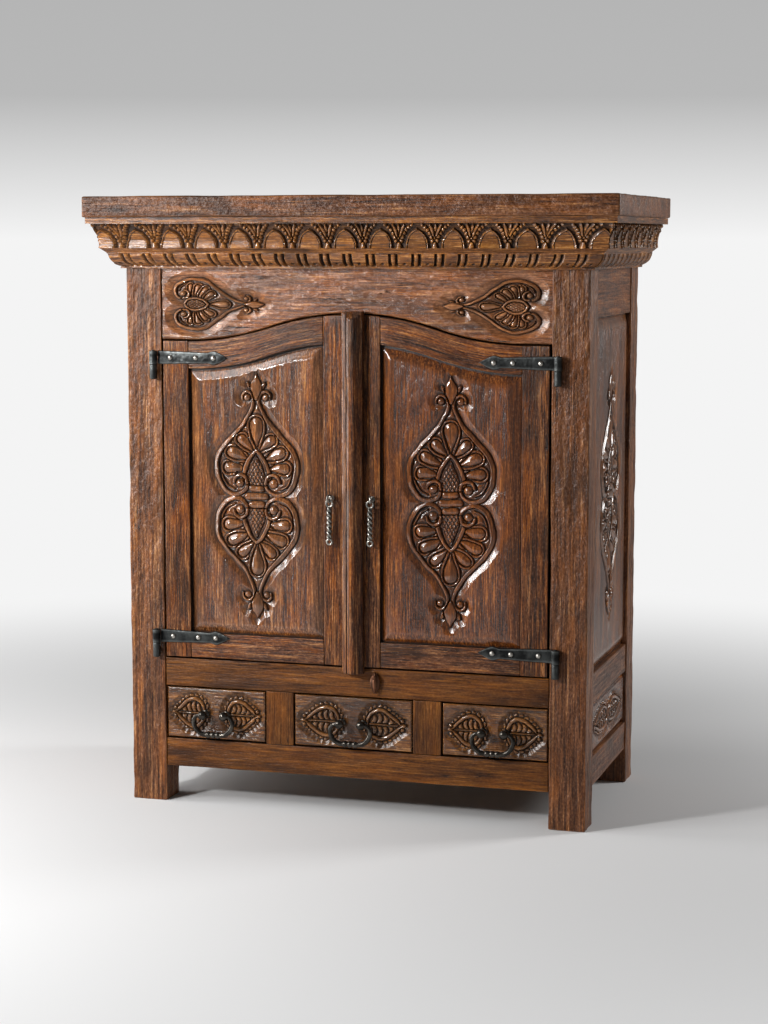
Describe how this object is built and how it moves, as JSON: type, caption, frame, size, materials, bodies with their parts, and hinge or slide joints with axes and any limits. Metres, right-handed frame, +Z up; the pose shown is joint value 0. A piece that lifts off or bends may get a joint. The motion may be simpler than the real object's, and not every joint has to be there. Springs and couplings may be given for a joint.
{
  "type": "tv cabinet",
  "caption": "Carved dark wood TV armoire with arched doors on iron strap hinges, carved drawers with iron bails, a mitred cornice and post legs.",
  "frame": {"origin": "middle of the footprint on the floor", "axes": "+X to the viewer's right, +Y to the back, +Z up; the doors and drawers face -Y"},
  "size_m": [1.4732, 0.762, 1.6764],
  "materials": {
    "carved_teak": "dark brown waxed reclaimed teak, hand carved and worn",
    "plain_teak": "plain sawn teak boards inside and behind",
    "black_iron": "hand forged blackened iron with rubbed edges"
  },
  "bodies": {
    "carcass": {"back_panels": "plain_teak", "back_rails": "plain_teak", "base_rail": "carved_teak", "button_nail": "black_iron", "cornice_cove_front": "carved_teak", "cornice_cove_left": "carved_teak", "cornice_cove_right": "carved_teak", "cornice_ogee_front": "carved_teak", "cornice_ogee_left": "carved_teak", "cornice_ogee_right": "carved_teak", "drawer_muntins": "carved_teak", "drawer_runners": "plain_teak", "frieze_rail": "carved_teak", "hinge_pintles": "black_iron", "post_back_left": "plain_teak", "post_back_right": "plain_teak", "post_front_left": "carved_teak", "post_front_right": "carved_teak", "side_lower_panel_left": "carved_teak", "side_lower_panel_right": "carved_teak", "side_panel_left": "carved_teak", "side_panel_right": "carved_teak", "side_rails_left": "carved_teak", "side_rails_right": "carved_teak", "top_board": "carved_teak", "tv_deck": "plain_teak", "waist_rail": "carved_teak"},
    "door_left": {"door_left_bottom_rail": "carved_teak", "door_left_eye": "black_iron", "door_left_hinge_stile": "carved_teak", "door_left_meeting_stile": "carved_teak", "door_left_nails": "black_iron", "door_left_panel": "carved_teak", "door_left_straps": "black_iron", "door_left_top_rail": "carved_teak"},
    "door_right": {"door_right_bottom_rail": "carved_teak", "door_right_eye": "black_iron", "door_right_hinge_stile": "carved_teak", "door_right_meeting_stile": "carved_teak", "door_right_nails": "black_iron", "door_right_panel": "carved_teak", "door_right_straps": "black_iron", "door_right_top_rail": "carved_teak", "astragal": "carved_teak"},
    "pull_left": {"door_left_pull": "black_iron"},
    "pull_right": {"door_right_pull": "black_iron"},
    "turn_button": {"turn_button": "carved_teak"},
    "drawer_left": {"drawer_left_front": "carved_teak", "drawer_left_box": "plain_teak", "drawer_left_eye_posts": "black_iron"},
    "bail_left": {"drawer_left_bail": "black_iron"},
    "drawer_middle": {"drawer_middle_front": "carved_teak", "drawer_middle_box": "plain_teak", "drawer_middle_eye_posts": "black_iron"},
    "bail_middle": {"drawer_middle_bail": "black_iron"},
    "drawer_right": {"drawer_right_front": "carved_teak", "drawer_right_box": "plain_teak", "drawer_right_eye_posts": "black_iron"},
    "bail_right": {"drawer_right_bail": "black_iron"}
  },
  "joints": [
    {"name": "door_left_hinge", "type": "hinge", "parent": "carcass", "child": "door_left", "pos_m": [-0.5646, -0.304, 0.85], "axis": [0, 0, -1], "range_deg": [0, 165]},
    {"name": "door_right_hinge", "type": "hinge", "parent": "carcass", "child": "door_right", "pos_m": [0.5646, -0.304, 0.85], "axis": [0, 0, 1], "range_deg": [0, 165]},
    {"name": "pull_left_swing", "type": "hinge", "parent": "door_left", "child": "pull_left", "pos_m": [-0.057, -0.31, 0.866], "axis": [-1, 0, 0], "range_deg": [-5, 95]},
    {"name": "pull_right_swing", "type": "hinge", "parent": "door_right", "child": "pull_right", "pos_m": [0.057, -0.31, 0.866], "axis": [-1, 0, 0], "range_deg": [-5, 95]},
    {"name": "turn_button_turn", "type": "hinge", "parent": "carcass", "child": "turn_button", "pos_m": [0.066, -0.292, 0.388], "axis": [0, -1, 0], "range_deg": [0, 180]},
    {"name": "drawer_left_slide", "type": "slide", "parent": "carcass", "child": "drawer_left", "axis": [0, -1, 0], "range_m": [0, 0.4]},
    {"name": "bail_left_swing", "type": "hinge", "parent": "drawer_left", "child": "bail_left", "pos_m": [-0.3973, -0.311, 0.254], "axis": [-1, 0, 0], "range_deg": [-10, 110]},
    {"name": "drawer_middle_slide", "type": "slide", "parent": "carcass", "child": "drawer_middle", "axis": [0, -1, 0], "range_m": [0, 0.4]},
    {"name": "bail_middle_swing", "type": "hinge", "parent": "drawer_middle", "child": "bail_middle", "pos_m": [0, -0.311, 0.254], "axis": [-1, 0, 0], "range_deg": [-10, 110]},
    {"name": "drawer_right_slide", "type": "slide", "parent": "carcass", "child": "drawer_right", "axis": [0, -1, 0], "range_m": [0, 0.4]},
    {"name": "bail_right_swing", "type": "hinge", "parent": "drawer_right", "child": "bail_right", "pos_m": [0.3973, -0.311, 0.254], "axis": [-1, 0, 0], "range_deg": [-10, 110]}
  ]
}
